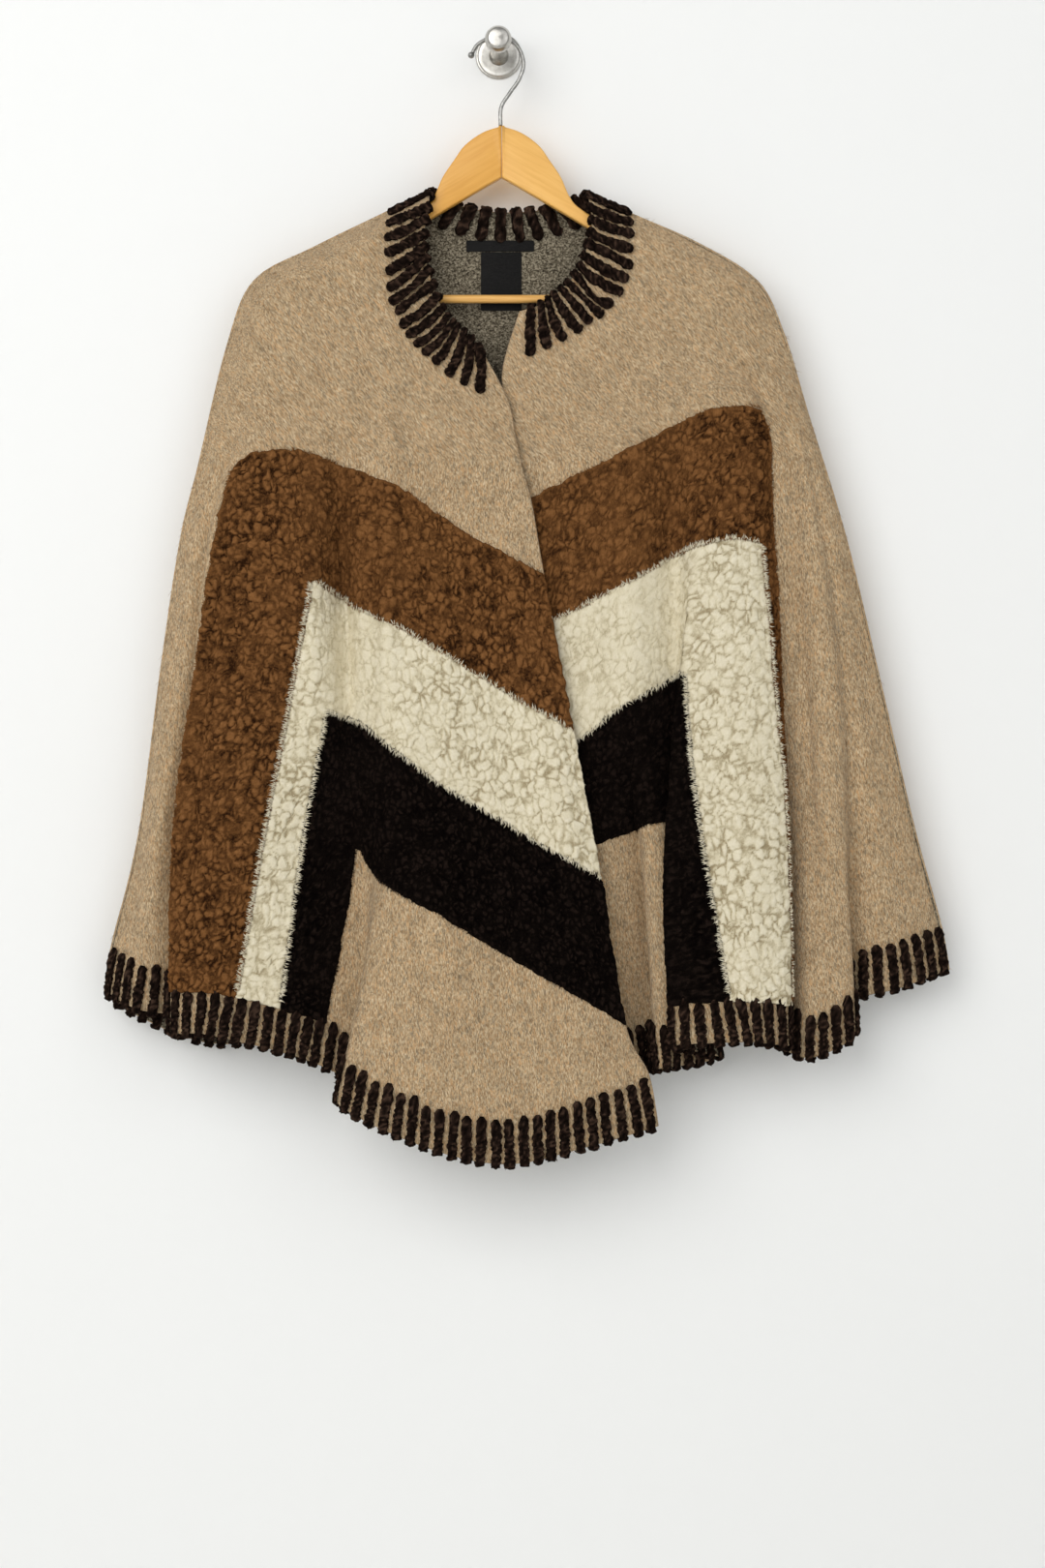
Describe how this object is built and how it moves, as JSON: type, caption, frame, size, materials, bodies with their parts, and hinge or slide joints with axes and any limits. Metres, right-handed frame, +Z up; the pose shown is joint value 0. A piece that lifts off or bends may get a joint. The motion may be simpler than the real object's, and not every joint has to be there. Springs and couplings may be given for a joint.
{
  "type": "cape on a wooden hanger and a wall hook",
  "caption": "Felted knit cape with curly pile chevron bands and whip-stitched edges, hanging on a wooden hanger from a steel wall hook.",
  "frame": {"origin": "centre of the wall hook plate's back face, on the wall", "axes": "+X to the right as seen from the front, +Y into the wall, +Z up"},
  "size_m": [0.7544, 0.1146, 1.007],
  "materials": {
    "beige_knit": "felted, brushed",
    "brown_pile": "curly pile",
    "cream_pile": "curly pile",
    "dark_pile": "boucle pile",
    "dark_yarn": "thick boucle yarn",
    "label_weave": "woven",
    "beech": "varnished",
    "steel": "brushed"
  },
  "bodies": {
    "root": {"front_left": "beige_knit", "front_right": "beige_knit", "back": "beige_knit", "brown_band_left": "brown_pile", "brown_band_right": "brown_pile", "cream_band_left": "cream_pile", "cream_band_right": "cream_pile", "dark_band_left": "dark_pile", "dark_band_right": "dark_pile", "hem_band_left": "dark_yarn", "hem_band_right": "dark_yarn", "hem_band_back": "dark_yarn", "neck_band_left": "dark_yarn", "neck_band_right": "dark_yarn", "neck_band_back": "dark_yarn", "neck_label": "label_weave", "care_label": "label_weave", "hanger_arm_left": "beech", "hanger_arm_right": "beech", "hanger_bar": "beech", "wire_hook": "steel", "wall_plate": "steel", "wall_knob": "steel"}
  },
  "joints": []
}
